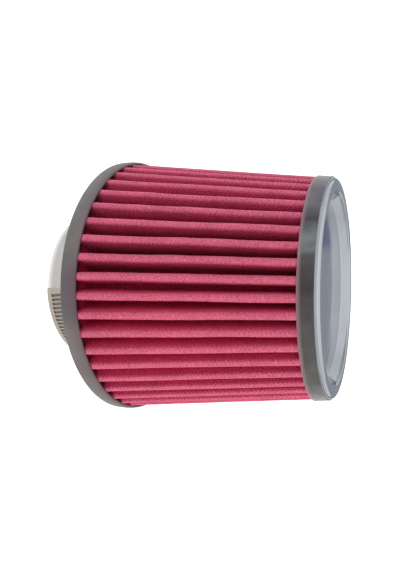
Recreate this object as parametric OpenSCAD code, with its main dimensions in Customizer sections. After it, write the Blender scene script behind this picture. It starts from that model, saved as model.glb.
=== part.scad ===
/* [Pleated element] */
// Number of folds round the element
pleat_count = 46; // [36:1:48]
// Depth of one fold from the outside of a ridge to the inside of a valley
pleat_depth = 18; // [14:0.5:18.5]
// Thickness of the coated wire and gauze sheet
sheet_t = 1.5; // [1:0.1:1.6]
// Middle-line radius of the fold at a ridge
ridge_fold_r = 1.6; // [1:0.1:2]
// Middle-line radius of the fold at a valley
valley_fold_r = 1.3; // [1.1:0.1:1.4]
// Radius over the ridges where the element leaves the base cap
base_ridge_r = 74.2; // [68:0.1:80]
// Radius over the ridges where the element enters the top ring
top_ridge_r = 59.8; // [55:0.1:64]
// Height of the element that shows between the base cap and the top ring
element_h = 106.4; // [90:0.2:125]
// Turn of the first ridge about the axis
ridge_turn = -77.65; // [-180:0.05:180]

/* [Base cap] */
// Radius of the bore that slides over the intake pipe
bore_r = 38.1; // [37:0.1:38.5]
// Wall thickness of the neck
neck_wall = 6.1; // [5:0.1:6.5]
// Length of the neck below the flange
neck_len = 34; // [30:0.5:45]
// Width by which the flange stands out from the ridges
flange_lip_w = 1.8; // [1.6:0.1:4]
// Thickness of the flange
flange_h = 9; // [7:0.5:11]
// Depth of the channel that holds the element
base_channel_depth = 2; // [1:0.1:3]
// Radius of the fillet where the neck meets the flange
neck_fillet_r = 5; // [3:0.5:6]
// Radius of the flare where the bore opens into the filter
bore_flare_r = 4; // [2:0.5:5]
// Rounding of the lower edge of the flange
flange_edge_r = 1.4; // [0.8:0.1:2]
// Flat width left on the lip outside the element
lip_flat = 0.5; // [0.3:0.1:0.6]
// Chamfer of the neck mouth
mouth_chamfer = 0.8; // [0.4:0.1:1.2]

/* [Top ring] */
// Width by which the ring stands out from the ridges
ring_lip_w = 0.7; // [0.7:0.1:1.8]
// Change of the outer radius of the ring from the element to the end cap
ring_taper = 1; // [0.2:0.1:1.1]
// Height of the outside of the ring
ring_h = 7.7; // [7.2:0.1:9]
// Depth of the channel that holds the element
ring_channel_depth = 1.2; // [0.8:0.1:1.6]
// Chamfer of the lower outer edge of the ring
ring_edge = 0.35; // [0.2:0.05:0.5]
// Drop of the lip inside the support core
inner_lip_drop = 1.8; // [1:0.1:3]
// Width of the lip inside the support core
inner_lip_w = 2; // [1.5:0.1:3]

/* [End cap] */
// Width of the ring that shows round the cap
cap_inset = 0.6; // [0.3:0.1:0.9]
// Sheet thickness of the cap
cap_t = 0.9; // [0.7:0.1:1]
// Rise of the rim above the top ring
cap_rise = 1.9; // [1.7:0.1:2.4]
// Width of the rim round the recess
rim_w = 8; // [7.3:0.1:9]
// Depth of the recess below the crown at its wall
recess_depth = 5.4; // [5:0.1:5.6]
// Width over which the wall of the recess slants
recess_slant = 4.2; // [3.8:0.1:5]
// Rounding of the edge of the recess
recess_edge_r = 1.5; // [1.2:0.1:1.8]
// Rounding at the foot of the recess wall
recess_foot_r = 2; // [1.4:0.1:2.2]
// Further drop of the recess floor at its centre
floor_dish = 0.8; // [0.2:0.1:0.8]

/* [Support core] */
// Sheet thickness of the core
core_t = 0.8; // [0.6:0.1:1]
// Rows of holes up the core
hole_rows = 8; // [4:1:8]
// Holes in one row
holes_per_row = 15; // [10:1:15]
// Radius of a hole
hole_r = 4.6; // [2:0.1:4.8]
// Plain height kept at each end of the core
core_plain_h = 5; // [4:0.5:10]

/* [Hose clamp] */
// Width of the clamp band
band_w = 12.7; // [12.7:0.1:13]
// Thickness of the clamp band
band_t = 0.7; // [0.6:0.1:0.8]
// Height of the lower edge of the band above the neck mouth
band_z = 0.8; // [0.8:0.1:6]
// Turn of the worm housing about the axis
housing_turn = 27; // [20:1:60]
// Turn of the tip of the band tail about the axis
tail_turn = -87; // [-92:1:-60]
// Distance between neighbouring slots of the band
slot_pitch = 2.5; // [2.4:0.1:2.6]
// Length of a slot
slot_l = 7; // [6:0.1:8]
// Width of a slot
slot_w = 1.6; // [1.5:0.1:1.7]
// Number of slots on the loop side of the worm
loop_slots = 20; // [8:1:24]
// Length of the worm housing along the band
housing_l = 14; // [13:0.5:16]
// Sheet thickness of the worm housing
housing_t = 0.8; // [0.7:0.1:0.9]
// Sheet thickness of the housing legs beside the band
leg_t = 0.55; // [0.4:0.05:0.6]
// Distance of the worm axis above the band
worm_lift = 4.1; // [4:0.05:4.3]
// Depth to which the worm ridges enter the slots
worm_dip = 0.4; // [0.2:0.05:0.5]
// Radius of the worm core between the ridges
worm_core_r = 3.3; // [3:0.1:3.6]
// Number of ridges of the worm
worm_ridges = 4; // [2:2:4]
// Width of a worm ridge at its tip
ridge_tip_w = 0.5; // [0.3:0.05:0.55]
// Width of a worm ridge at its root
ridge_root_w = 1.2; // [1:0.1:1.3]
// Radius of the worm shank in the housing
shank_r = 2.4; // [2:0.1:2.8]
// Radius of the riveted end behind the housing
rivet_r = 2.9; // [2.9:0.1:3.4]
// Thickness of the riveted end
rivet_t = 0.8; // [0.5:0.1:1.2]
// Radius of the collar between housing and head
collar_r = 3.8; // [3:0.1:4]
// Thickness of the collar
collar_t = 1.4; // [1.3:0.1:2]
// Size of the hexagon head across its flats
head_flats = 7.94; // [7:0.01:7.94]
// Height of the hexagon head
head_h = 5; // [4:0.1:6]
// Width of the driver slot in the head
driver_w = 1.2; // [0.8:0.1:1.6]
// Depth of the driver slot in the head
driver_depth = 1.8; // [1:0.1:2.4]

/* [Fits] */
// Clearance between the element and the channels that hold it
channel_fit = 0.1; // [0.05:0.05:0.2]
// Gap between the middle of the end cap and the ring below it
web_gap = 0.3; // [0.3:0.05:0.4]
// Clearance between the element and the support core
core_fit = 0.1; // [0.05:0.05:0.2]
// Clearance between the clamp band and the neck
band_fit = 0.05; // [0.02:0.01:0.1]
// Clearance between the two layers of the band, and round them in the housing
layer_fit = 0.1; // [0.05:0.05:0.15]
// Radial clearance of the worm shank in the housing
shank_fit = 0.05; // [0.03:0.01:0.1]
// Clearance between the worm ridges and the housing
worm_fit = 0.2; // [0.15:0.05:0.3]
// Gap between the faces of the worm and of the housing ends
worm_end_gap = 0.3; // [0.3:0.05:0.5]

/* [Hidden] */
// Facets of a full circle on the large forms
big_fn = 96;
// Facets of a full circle on the small forms
small_fn = 32;
// Steps along a fold at a ridge
ridge_steps = 6;
// Steps along a fold at a valley
valley_steps = 4;
// Steps along an edge rounding
edge_steps = 6;
// Overshoot of a cutting form
cut_over = 1;
// Turn of the band from one point of its outline to the next
band_step_turn = 3;
// Turn from the housing to the fixed end of the band
end_turn = 9;
// Turns from the housing to the two ends of the rise of the band
step_turn_low = 14;
step_turn_high = 30;
// Turn kept without slots at the tip of the tail
tail_plain_turn = 3.5;

// Heights of the main faces above the neck mouth
flange_top_z = neck_len + flange_h;
base_seat_z = flange_top_z - base_channel_depth;
ring_z = flange_top_z + element_h;
ring_seat_z = ring_z + ring_channel_depth;
ring_top_z = ring_z + ring_h;
crown_z = ring_top_z + cap_rise;
floor_z = crown_z - recess_depth;

// Outer radii of the flange, the ring and the cap, and radius of the recess
flange_r = base_ridge_r + flange_lip_w;
ring_r = top_ridge_r + ring_lip_w;
ring_top_r = ring_r - ring_taper;
cap_r = ring_top_r - cap_inset;
recess_r = cap_r - rim_w;

// Radii of the neck and of the clamp layers
neck_r = bore_r + neck_wall;
inner_layer_r = neck_r + band_fit;
outer_layer_r = inner_layer_r + band_t + layer_fit;
band_top_r = outer_layer_r + band_t;
band_mid_z = band_z + band_w / 2;

// Place and size of the worm, and turn and slant of the slots that it drives
worm_axis_r = band_top_r + worm_lift;
worm_r = worm_lift + worm_dip;
slot_turn = slot_pitch / (outer_layer_r + band_t / 2) * 180 / PI;
slot_slant = atan(slot_pitch / (PI * (worm_r + worm_core_r)));

// Change of the ridge radius for each millimetre of height
ridge_slope = (top_ridge_r - base_ridge_r) / element_h;

// Half of the angle from one ridge to the next
half_pitch = 180 / pleat_count;

function ridge_r_at(z) = base_ridge_r + ridge_slope * (z - flange_top_z);
function core_r_at(z) = ridge_r_at(z) - pleat_depth - core_fit;
function core_in_at(z) = core_r_at(z) - core_t;

// Points of an elliptic arc in the plane of a turned profile
function arc_pts(cx, cy, rx, ry, a0, a1, n) =
    [for (i = [0:n]) let (a = a0 + (a1 - a0) * i / n) [cx + rx * cos(a), cy + ry * sin(a)]];

// Direction, as an angle, of the normal of the right flank of a fold
function flank_angle(rm, vm) =
    let (
        dx = (vm + valley_fold_r) * sin(half_pitch),
        dy = (vm + valley_fold_r) * cos(half_pitch) - (rm - ridge_fold_r)
    )
    atan2(dy, dx) + acos((ridge_fold_r + valley_fold_r) / norm([dx, dy]));

// One fold seen along the axis, moved out from the middle line of the sheet by o
function fold_pts(rm, vm, o, turn) =
    let (na = flank_angle(rm, vm))
    concat(
        [for (i = [0:ridge_steps])
            let (
                a = 180 - na + (2 * na - 180) * i / ridge_steps,
                x = (ridge_fold_r + o) * cos(a),
                y = rm - ridge_fold_r + (ridge_fold_r + o) * sin(a)
            )
            [y * cos(turn) - x * sin(turn), y * sin(turn) + x * cos(turn)]],
        [for (i = [0:valley_steps])
            let (
                va = turn + half_pitch,
                a = 180 + na + half_pitch + (180 - 2 * (na + half_pitch)) * i / valley_steps,
                x = (valley_fold_r - o) * cos(a),
                y = vm + valley_fold_r + (valley_fold_r - o) * sin(a)
            )
            [y * cos(va) - x * sin(va), y * sin(va) + x * cos(va)]]
    );

// The folded sheet at height z as a closed line of points
function sheet_loop(z, o) =
    let (
        rm = ridge_r_at(z) - sheet_t / 2,
        vm = ridge_r_at(z) - pleat_depth + sheet_t / 2
    )
    [for (k = [0:pleat_count - 1])
        for (p = fold_pts(rm, vm, o, ridge_turn + 2 * half_pitch * k))
            [p[0], p[1], z]];

// Red pleated sheet of wire and gauze, folded as one piece and closed to a cone
module pleated_media() {
    n = pleat_count * (ridge_steps + valley_steps + 2);
    pts = concat(
        sheet_loop(base_seat_z, sheet_t / 2),
        sheet_loop(ring_seat_z, sheet_t / 2),
        sheet_loop(base_seat_z, -sheet_t / 2),
        sheet_loop(ring_seat_z, -sheet_t / 2)
    );
    faces = [for (i = [0:n - 1])
        let (
            j = (i + 1) % n,
            quads = [
                [i, n + i, n + j, j],
                [2 * n + i, 2 * n + j, 3 * n + j, 3 * n + i],
                [i, j, 2 * n + j, 2 * n + i],
                [n + i, 3 * n + i, 3 * n + j, n + j]
            ]
        )
        for (q = quads)
            for (f = [[q[0], q[1], q[2]], [q[0], q[2], q[3]]])
                f];
    color("crimson")
    polyhedron(points = pts, faces = faces, convexity = 10);
}

// Grey moulded base: flange, element channel and neck in one piece
module base_cap() {
    channel_out = channel_fit + ridge_r_at(flange_top_z);
    channel_out_low = channel_fit + ridge_r_at(base_seat_z);
    channel_in = core_in_at(flange_top_z) - channel_fit;
    channel_in_low = core_in_at(base_seat_z) - channel_fit;
    lip_r = channel_out + lip_flat;
    fillet = [neck_r + neck_fillet_r, neck_len - neck_fillet_r];
    edge = [flange_r - flange_edge_r, neck_len + flange_edge_r];
    flare = [bore_r + bore_flare_r, flange_top_z - bore_flare_r];
    profile = concat(
        [[bore_r, mouth_chamfer], [bore_r + mouth_chamfer, 0]],
        [[neck_r - mouth_chamfer, 0], [neck_r, mouth_chamfer]],
        arc_pts(fillet[0], fillet[1], neck_fillet_r, neck_fillet_r, 180, 90, edge_steps),
        arc_pts(edge[0], edge[1], flange_edge_r, flange_edge_r, -90, 0, edge_steps),
        arc_pts(lip_r, flange_top_z - flange_h / 2, flange_r - lip_r, flange_h / 2, 0, 90, edge_steps),
        [[channel_out, flange_top_z], [channel_out_low, base_seat_z]],
        [[channel_in_low, base_seat_z], [channel_in, flange_top_z]],
        arc_pts(flare[0], flare[1], bore_flare_r, bore_flare_r, 90, 180, edge_steps)
    );
    color("gray")
    rotate_extrude($fn = big_fn)
    polygon(profile);
}

// Cone of perforated sheet metal that holds the folds open from inside
module support_core() {
    first_z = base_seat_z + core_plain_h + hole_r;
    last_z = ring_seat_z - core_plain_h - hole_r;
    row_step = (last_z - first_z) / (hole_rows - 1);
    hole_step = 360 / holes_per_row;
    color("silver")
    difference() {
        rotate_extrude($fn = big_fn)
        polygon([
            [core_in_at(base_seat_z), base_seat_z],
            [core_r_at(base_seat_z), base_seat_z],
            [core_r_at(ring_seat_z), ring_seat_z],
            [core_in_at(ring_seat_z), ring_seat_z]
        ]);
        for (row = [0:hole_rows - 1])
            for (k = [0:holes_per_row - 1])
                rotate([0, 0, (k + (row % 2) / 2) * hole_step])
                translate([core_in_at(first_z + row * row_step) - 2 * cut_over, 0, first_z + row * row_step])
                rotate([0, 90, 0])
                cylinder(r = hole_r, h = core_t + 4 * cut_over, $fn = small_fn);
    }
}

// Face of the end cap as a turned line, moved in by o from the polished side
function cap_face(o) =
    let (
        edge = [recess_r + recess_edge_r, crown_z - recess_edge_r],
        foot = [recess_r - recess_slant, floor_z + recess_foot_r],
        d = foot - edge,
        wall_a = atan2(d[1], d[0]) + 360 - acos((recess_edge_r + recess_foot_r) / norm(d))
    )
    concat(
        arc_pts(cap_r - cap_rise, ring_top_z, cap_rise - o, cap_rise - o, 0, 90, edge_steps),
        arc_pts(edge[0], edge[1], recess_edge_r - o, recess_edge_r - o, 90, wall_a, edge_steps),
        arc_pts(foot[0], foot[1], recess_foot_r + o, recess_foot_r + o, wall_a + 180, 270, edge_steps)
    );

// Shallow dish of the recess floor from its edge to the axis, moved in by o
function dish_face(o) =
    let (edge_r = recess_r - recess_slant)
    [for (i = [1:edge_steps])
        let (r = edge_r * (1 - i / edge_steps))
        [r, floor_z - o - floor_dish * (1 - pow(r / edge_r, 2))]];

// Points of a list in the opposite order
function reversed(v) = [for (i = [len(v) - 1:-1:0]) v[i]];

// Dark moulded ring that holds the small end of the element and carries the end cap
module top_ring() {
    wall_out = channel_fit + ridge_r_at(ring_z);
    wall_out_high = channel_fit + ridge_r_at(ring_seat_z);
    lip_z = ring_z - inner_lip_drop;
    lip_out = core_in_at(ring_seat_z) - channel_fit;
    lip_in = lip_out - inner_lip_w;
    web_z = floor_z - cap_t - web_gap;
    profile = concat(
        [[wall_out_high, ring_seat_z], [wall_out, ring_z]],
        [[ring_r - ring_edge, ring_z], [ring_r, ring_z + ring_edge], [ring_top_r, ring_top_z]],
        cap_face(cap_t),
        [[recess_r - recess_slant, web_z], [lip_in, web_z]],
        [[lip_in, lip_z], [lip_out, lip_z], [lip_out, ring_seat_z]]
    );
    color("dimgray")
    rotate_extrude($fn = big_fn)
    polygon(profile);
}

// Polished pressed cap with a rolled rim and a recessed face
module end_cap() {
    profile = concat(
        cap_face(0),
        dish_face(0),
        reversed(concat(cap_face(cap_t), dish_face(cap_t)))
    );
    color("lightgray")
    rotate_extrude($fn = big_fn)
    polygon(profile);
}

// Inner radius of the band at a turn from the housing: tail, rise over its own end, inner turn
function band_r_at(turn) =
    turn <= step_turn_low ? outer_layer_r :
    turn >= step_turn_high ? inner_layer_r :
    inner_layer_r + (outer_layer_r - inner_layer_r)
        * (1 + cos(180 * (turn - step_turn_low) / (step_turn_high - step_turn_low))) / 2;

// Steel strip round the neck: inner turn, rise over its own end, and slotted tail
module clamp_band() {
    tail_rel = tail_turn - housing_turn;
    sweep = 360 + end_turn - tail_rel;
    steps = ceil(sweep / band_step_turn);
    turns = [for (i = [0:steps]) tail_rel + sweep * i / steps];
    strip = concat(
        [for (t = turns) band_r_at(t) * [cos(t), sin(t)]],
        reversed([for (t = turns) (band_r_at(t) + band_t) * [cos(t), sin(t)]])
    );
    tail_slots = floor((-tail_rel - tail_plain_turn) / slot_turn - 0.5);
    color("silver")
    rotate([0, 0, housing_turn])
    translate([0, 0, band_z])
    difference() {
        linear_extrude(band_w)
        polygon(strip);
        for (i = [-tail_slots - 1:loop_slots - 1]) {
            turn = (i + 0.5) * slot_turn;
            low_r = turn > end_turn ? inner_layer_r - cut_over : outer_layer_r - layer_fit / 2;
            rotate([0, 0, turn])
            translate([low_r, 0, band_w / 2])
            rotate([slot_slant, 0, 0])
            translate([0, -slot_w / 2, -slot_l / 2])
            cube([band_top_r + cut_over - low_r, slot_w, slot_l]);
        }
    }
}

// Places a form that is drawn about the worm axis: X outward, Y along the band, Z up
module at_housing() {
    rotate([0, 0, housing_turn])
    translate([0, 0, band_mid_z])
    children();
}

// Pressed cage over the band that holds the worm
module clamp_housing() {
    cage_r = worm_r + worm_fit + housing_t;
    hollow_r = worm_r + worm_fit;
    hollow_l = housing_l - 2 * housing_t;
    leg_z = band_w / 2 + band_fit;
    leg_x = neck_r + layer_fit;
    roof_x = band_top_r + layer_fit;
    color("silver")
    at_housing()
    difference() {
        union() {
            translate([worm_axis_r, 0, 0])
            rotate([90, 0, 0])
            cylinder(r = cage_r, h = housing_l, center = true, $fn = small_fn * 2);
            translate([roof_x, -housing_l / 2, -cage_r])
            cube([worm_axis_r - roof_x, housing_l, 2 * cage_r]);
            translate([leg_x, -housing_l / 2, -leg_z - leg_t])
            cube([roof_x + housing_t - leg_x, housing_l, 2 * (leg_z + leg_t)]);
        }
        translate([leg_x - cut_over, -housing_l, -leg_z])
        cube([roof_x - leg_x + cut_over, 2 * housing_l, 2 * leg_z]);
        translate([worm_axis_r, 0, 0])
        rotate([90, 0, 0])
        cylinder(r = hollow_r, h = hollow_l, center = true, $fn = small_fn * 2);
        translate([roof_x - cut_over, -hollow_l / 2, -hollow_r])
        cube([worm_axis_r - roof_x + cut_over, hollow_l, 2 * hollow_r]);
        translate([worm_axis_r, 0, 0])
        rotate([90, 0, 0])
        cylinder(r = shank_r + shank_fit, h = 2 * housing_l, center = true, $fn = small_fn * 2);
    }
}

// Worm with ridges at the slot pitch, shanks at both ends, collar and hexagon head
module clamp_screw() {
    end_z = housing_l / 2;
    worm_z = end_z - housing_t - worm_end_gap;
    collar_z = end_z + worm_end_gap;
    head_z = collar_z + collar_t;
    core_end_z = head_z + head_h / 2;
    ridge_list = [for (k = [-worm_ridges / 2:worm_ridges / 2 - 1]) (k + 0.5) * slot_pitch];
    profile = concat(
        [[0, -collar_z - rivet_t], [rivet_r, -collar_z - rivet_t], [rivet_r, -collar_z]],
        [[shank_r, -collar_z], [shank_r, -worm_z], [worm_core_r, -worm_z]],
        [for (z = ridge_list)
            for (p = [[worm_core_r, -ridge_root_w / 2], [worm_r, -ridge_tip_w / 2],
                [worm_r, ridge_tip_w / 2], [worm_core_r, ridge_root_w / 2]])
                [p[0], z + p[1]]],
        [[worm_core_r, worm_z], [shank_r, worm_z], [shank_r, collar_z]],
        [[collar_r, collar_z], [collar_r, head_z], [shank_r, head_z], [shank_r, core_end_z], [0, core_end_z]]
    );
    color("gainsboro")
    at_housing()
    translate([worm_axis_r, 0, 0])
    rotate([90, 0, 0])
    difference() {
        union() {
            rotate_extrude($fn = small_fn * 2)
            polygon(profile);
            translate([0, 0, head_z])
            cylinder(r = head_flats / 2 / cos(30), h = head_h, $fn = 6);
        }
        translate([-head_flats, -driver_w / 2, head_z + head_h - driver_depth])
        cube([2 * head_flats, driver_w, driver_depth + cut_over]);
    }
}

base_cap();
pleated_media();
support_core();
top_ring();
end_cap();
clamp_band();
clamp_housing();
clamp_screw();
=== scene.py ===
import math

import bpy
from mathutils import Matrix, Vector, noise


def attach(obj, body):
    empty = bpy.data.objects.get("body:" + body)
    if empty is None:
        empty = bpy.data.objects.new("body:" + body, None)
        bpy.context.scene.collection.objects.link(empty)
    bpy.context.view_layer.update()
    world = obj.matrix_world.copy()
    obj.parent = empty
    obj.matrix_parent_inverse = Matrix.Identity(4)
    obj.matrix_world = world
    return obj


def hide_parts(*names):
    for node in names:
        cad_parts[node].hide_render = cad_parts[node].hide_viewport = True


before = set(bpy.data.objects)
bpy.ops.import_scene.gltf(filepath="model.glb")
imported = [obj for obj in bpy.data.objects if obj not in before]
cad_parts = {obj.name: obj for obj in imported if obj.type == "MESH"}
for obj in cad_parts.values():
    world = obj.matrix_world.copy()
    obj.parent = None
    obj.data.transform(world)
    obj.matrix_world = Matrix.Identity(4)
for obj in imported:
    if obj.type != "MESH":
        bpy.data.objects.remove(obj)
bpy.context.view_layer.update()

bl_info = {
    "name": "Cone air filter",
    "version": (1, 0, 0),
    "blender": (4, 5, 0),
    "location": "View3D > Sidebar > Air filter",
    "description": "Dresses the packed cone air filter: gauze folds, moulded ends, cap and clamp",
    "category": "Object",
}

MM = 0.001

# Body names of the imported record
FILTER_BODY = "filter"
SCREW_BODY = "worm_screw"

# Camera, from the fit to the photograph: focal length and picture height in pixels, angles in degrees
FOCAL_PX = 505
PICTURE_H_PX = 570
SENSOR_MM = 36
CAMERA_RISE = 23.44
CAMERA_ROLL = -0.9
CAMERA_DISTANCE = 305 * MM

WHITE = (1, 1, 1, 1)


def linear(hex_code):
    """sRGB hex code as the linear colour that Blender's sockets take."""
    parts = [int(hex_code[i:i + 2], 16) / 255 for i in (1, 3, 5)]
    return tuple(p / 12.92 if p <= 0.04045 else ((p + 0.055) / 1.055) ** 2.4 for p in parts) + (1.0,)


def add_node(tree, kind, inputs=None, **settings):
    """Adds one node; an input is a plain value or the socket that feeds it."""
    node = tree.nodes.new(kind)
    for name, value in settings.items():
        setattr(node, name, value)
    for key, value in (inputs or {}).items():
        if isinstance(value, bpy.types.NodeSocket):
            tree.links.new(value, node.inputs[key])
        else:
            node.inputs[key].default_value = value
    return node


# Sizes and colours

def length(name, description, default_mm):
    return bpy.props.FloatProperty(name=name, description=description, default=default_mm * MM,
                                   min=0.0, unit="LENGTH", subtype="DISTANCE", precision=5)


def colour(name, description, hex_code):
    return bpy.props.FloatVectorProperty(name=name, description=description, default=linear(hex_code),
                                         size=4, min=0.0, max=1.0, subtype="COLOR")


class ElementSettings(bpy.types.PropertyGroup):
    folds: bpy.props.IntProperty(name="Folds", description="Folds round the element", default=46, min=12)
    first_ridge: bpy.props.FloatProperty(name="First ridge", description="Turn of one ridge about the axis",
                                         default=math.radians(-77.65), unit="ROTATION", subtype="ANGLE")
    depth: length("Fold depth", "Outside of a ridge to the inside of a valley", 18)
    sheet: length("Sheet thickness", "Coated wire with gauze on both sides", 1.5)
    ridge_fold: length("Ridge fold", "Middle-line radius of the fold at a ridge", 1.35)
    valley_fold: length("Valley fold", "Middle-line radius of the fold at a valley", 1.3)
    base_z: length("Base height", "Height at which the folds leave the base cap", 43)
    top_z: length("Top height", "Height at which the folds enter the top ring", 149.4)
    base_r: length("Base ridge radius", "Radius over the ridges at the base cap", 74.2)
    top_r: length("Top ridge radius", "Radius over the ridges at the top ring", 59.8)
    sunk_base: length("Held length below", "Length of the folds inside the base cap", 2)
    sunk_top: length("Held length above", "Length of the folds inside the top ring", 1.2)
    core: length("Core thickness", "Sheet thickness of the support core with its clearance", 0.9)
    play: length("Channel play", "Clearance between the folds and the channels that hold them", 0.1)
    waviness: length("Waviness", "How far a fold wanders from its straight line", 0.3)
    # Tones from the ridges down into the folds; the paler ridge tone is a painted highlight over the dye.
    gauze: colour("Gauze", "Dyed cotton gauze on the ridges", "#D0647E")
    gauze_flank: colour("Gauze on the flanks", "Dyed gauze beside the ridges", "#BC4262")
    gauze_fold: colour("Gauze half way down", "Dyed gauze some millimetres below the ridges", "#CC3A64")
    gauze_deep: colour("Gauze in the folds", "Oiled gauze down in the folds", "#C01C4C")


class MouldingSettings(bpy.types.PropertyGroup):
    bore_r: length("Bore radius", "Inside of the neck", 38.1)
    neck_r: length("Neck radius", "Outside of the neck", 44.2)
    neck_l: length("Neck length", "Length of the neck below the flange", 34)
    flange_r: length("Flange radius", "Outside of the base flange", 76)
    flange_edge: length("Flange edge", "Rounding of the lower edge of the flange", 1.4)
    lip_flat: length("Lip width", "Flat width of the lip outside the folds", 0.5)
    fillet_r: length("Neck fillet", "Fillet where the neck meets the flange", 5)
    flare_r: length("Bore flare", "Flare where the bore opens into the filter", 4)
    mouth: length("Mouth chamfer", "Chamfer of the neck mouth", 0.8)
    ring_z: length("Ring height", "Lower edge of the top ring", 149.4)
    ring_r: length("Ring radius", "Outside of the ring beside the folds", 60.5)
    ring_top_r: length("Ring top radius", "Outside of the ring beside the cap", 59.5)
    ring_bead: length("Ring bead", "Rounding of the lower edge of the ring", 0.6)
    inner_lip_w: length("Inner lip width", "Width of the lip inside the support core", 2)
    inner_lip_drop: length("Inner lip drop", "Drop of the lip inside the support core", 1.8)
    web_gap: length("Web gap", "Gap between the cap and the middle of the ring", 0.3)
    ring_top_z: length("Ring top", "Upper edge of the top ring", 157.1)
    base_colour: colour("Base moulding", "Grey urethane", "#6A6866")
    ring_colour: colour("Ring moulding", "Dark urethane", "#414042")


class CapSettings(bpy.types.PropertyGroup):
    cap_r: length("Cap radius", "Outside of the pressed cap", 58.9)
    rise: length("Rim rise", "Rise of the rim above the top ring", 1.9)
    recess_r: length("Recess radius", "Edge of the recess", 50.9)
    recess_depth: length("Recess depth", "Depth of the recess at its wall", 5.4)
    slant: length("Wall slant", "Width over which the recess wall slants", 4.2)
    edge_r: length("Edge rounding", "Rounding of the recess edge", 1.5)
    foot_r: length("Foot rounding", "Rounding at the foot of the recess wall", 2)
    dish: length("Dish", "Further drop of the floor at its centre", 0.8)
    sheet: length("Sheet thickness", "Thickness of the pressed sheet", 0.9)
    chrome: colour("Chrome", "Bright plating", "#B4B6BA")


class ClampSettings(bpy.types.PropertyGroup):
    band_w: length("Band width", "Width of the clamp band", 12.7)
    band_t: length("Band thickness", "Thickness of the clamp band", 0.7)
    band_z: length("Band height", "Lower edge of the band above the neck mouth", 0.8)
    outer_r: length("Outer layer radius", "Inside of the tail", 45.05)
    slot_l: length("Slot length", "Length of a slot", 7)
    strip_edge: length("Strip edge", "Width of the broken edges of band and housing", 0.15)
    screw_edge: length("Screw edge", "Width of the broken edges of the screw", 0.12)
    housing_turn: bpy.props.FloatProperty(name="Housing turn", description="Turn of the worm housing",
                                          default=math.radians(27), unit="ROTATION", subtype="ANGLE")
    tail_turn: bpy.props.FloatProperty(name="Tail turn", description="Turn of the tip of the tail",
                                       default=math.radians(-87), unit="ROTATION", subtype="ANGLE")
    steel: colour("Steel", "Stainless strip", "#CCCAC6")
    # A warmer grey mixed over the tail of the band.
    tail: colour("Tail", "Tarnished strip of the tail", "#B9AEA2")


# Modelling helpers

def start_piece():
    if bpy.context.object and bpy.context.object.mode != "OBJECT":
        bpy.ops.object.mode_set(mode="OBJECT")
    bpy.ops.object.select_all(action="DESELECT")


def name_piece(name):
    piece = bpy.context.object
    piece.name = name
    piece.data.name = name
    return piece


def pick(piece):
    """Makes one piece the only selected one, and the active one."""
    bpy.ops.object.select_all(action="DESELECT")
    piece.select_set(True)
    bpy.context.view_layer.objects.active = piece


def apply_modifier(piece, kind, **settings):
    modifier = piece.modifiers.new(kind.title(), kind)
    for key, value in settings.items():
        setattr(modifier, key, value)
    pick(piece)
    bpy.ops.object.modifier_apply(modifier=modifier.name)


def smooth(piece, degrees=35):
    pick(piece)
    bpy.ops.object.shade_smooth_by_angle(angle=math.radians(degrees))


def draw_line(points):
    """Draws a closed line in the XZ plane by extruding one vertex from point to point."""
    start_piece()
    bpy.ops.mesh.primitive_plane_add(size=MM, location=(0, 0, 0))
    bpy.ops.object.mode_set(mode="EDIT")
    bpy.ops.mesh.select_all(action="SELECT")
    bpy.ops.mesh.merge(type="CENTER")
    here = Vector((points[0][0], 0, points[0][1]))
    bpy.ops.transform.translate(value=here)
    for r, z in points[1:]:
        step = Vector((r, 0, z)) - here
        bpy.ops.mesh.extrude_region_move(TRANSFORM_OT_translate={"value": step})
        here = here + step
    mesh = bpy.context.object.data
    bpy.ops.object.mode_set(mode="OBJECT")
    ends = (0, len(mesh.vertices) - 1)
    for vertex in mesh.vertices:
        vertex.select = vertex.index in ends
    bpy.ops.object.mode_set(mode="EDIT")
    bpy.ops.mesh.edge_face_add()


def turn_piece(name, points, steps=144):
    """Spins a drawn line once round the filter axis."""
    draw_line(points)
    bpy.ops.mesh.select_all(action="SELECT")
    bpy.ops.mesh.spin(steps=steps, angle=math.tau, center=(0, 0, 0), axis=(0, 0, 1))
    bpy.ops.mesh.select_all(action="SELECT")
    bpy.ops.mesh.remove_doubles(threshold=0.01 * MM)
    bpy.ops.mesh.normals_make_consistent(inside=False)
    bpy.ops.object.mode_set(mode="OBJECT")
    return name_piece(name)


def arc(cx, cz, r, start, end, steps, rise=None):
    """Points of an arc, in degrees, as (radius, height); rise is the other half axis of an ellipse."""
    angles = [math.radians(start + (end - start) * i / steps) for i in range(steps + 1)]
    return [(cx + r * math.cos(a), cz + (rise or r) * math.sin(a)) for a in angles]


def ridge_r_at(element, z):
    """Radius over the ridges at a height."""
    slope = (element.top_r - element.base_r) / (element.top_z - element.base_z)
    return element.base_r + slope * (z - element.base_z)


def core_in_at(element, z):
    """Inner radius of the support core at a height."""
    return ridge_r_at(element, z) - element.depth - element.core


def finish_piece(piece, body, slot, *nodes):
    """Hands a finished piece to the frame: what it rides on and the nodes it stands for. The slot is not
    used.
    """
    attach(piece, body)
    if nodes:
        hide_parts(*nodes)


def surface(name):
    """A new material with its tree, shader and Object coordinates."""
    material = bpy.data.materials.new(name)
    material.use_nodes = True
    tree = material.node_tree
    shader = tree.nodes["Principled BSDF"]
    place = add_node(tree, "ShaderNodeTexCoord")
    return material, tree, shader, place


def from_axis(tree, place):
    """Distance of a spot from the filter axis."""
    flat = add_node(tree, "ShaderNodeVectorMath",
                    {0: place.outputs["Object"], 1: (1, 1, 0)}, operation="MULTIPLY")
    return add_node(tree, "ShaderNodeVectorMath",
                    {0: flat.outputs[0]}, operation="LENGTH").outputs["Value"]


def gap_to(tree, value, centre):
    """How far a value lies from a centre, to either side."""
    off = add_node(tree, "ShaderNodeMath", {0: value, 1: centre}, operation="SUBTRACT")
    return add_node(tree, "ShaderNodeMath", {0: off.outputs[0]}, operation="ABSOLUTE").outputs[0]


# Materials

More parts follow.
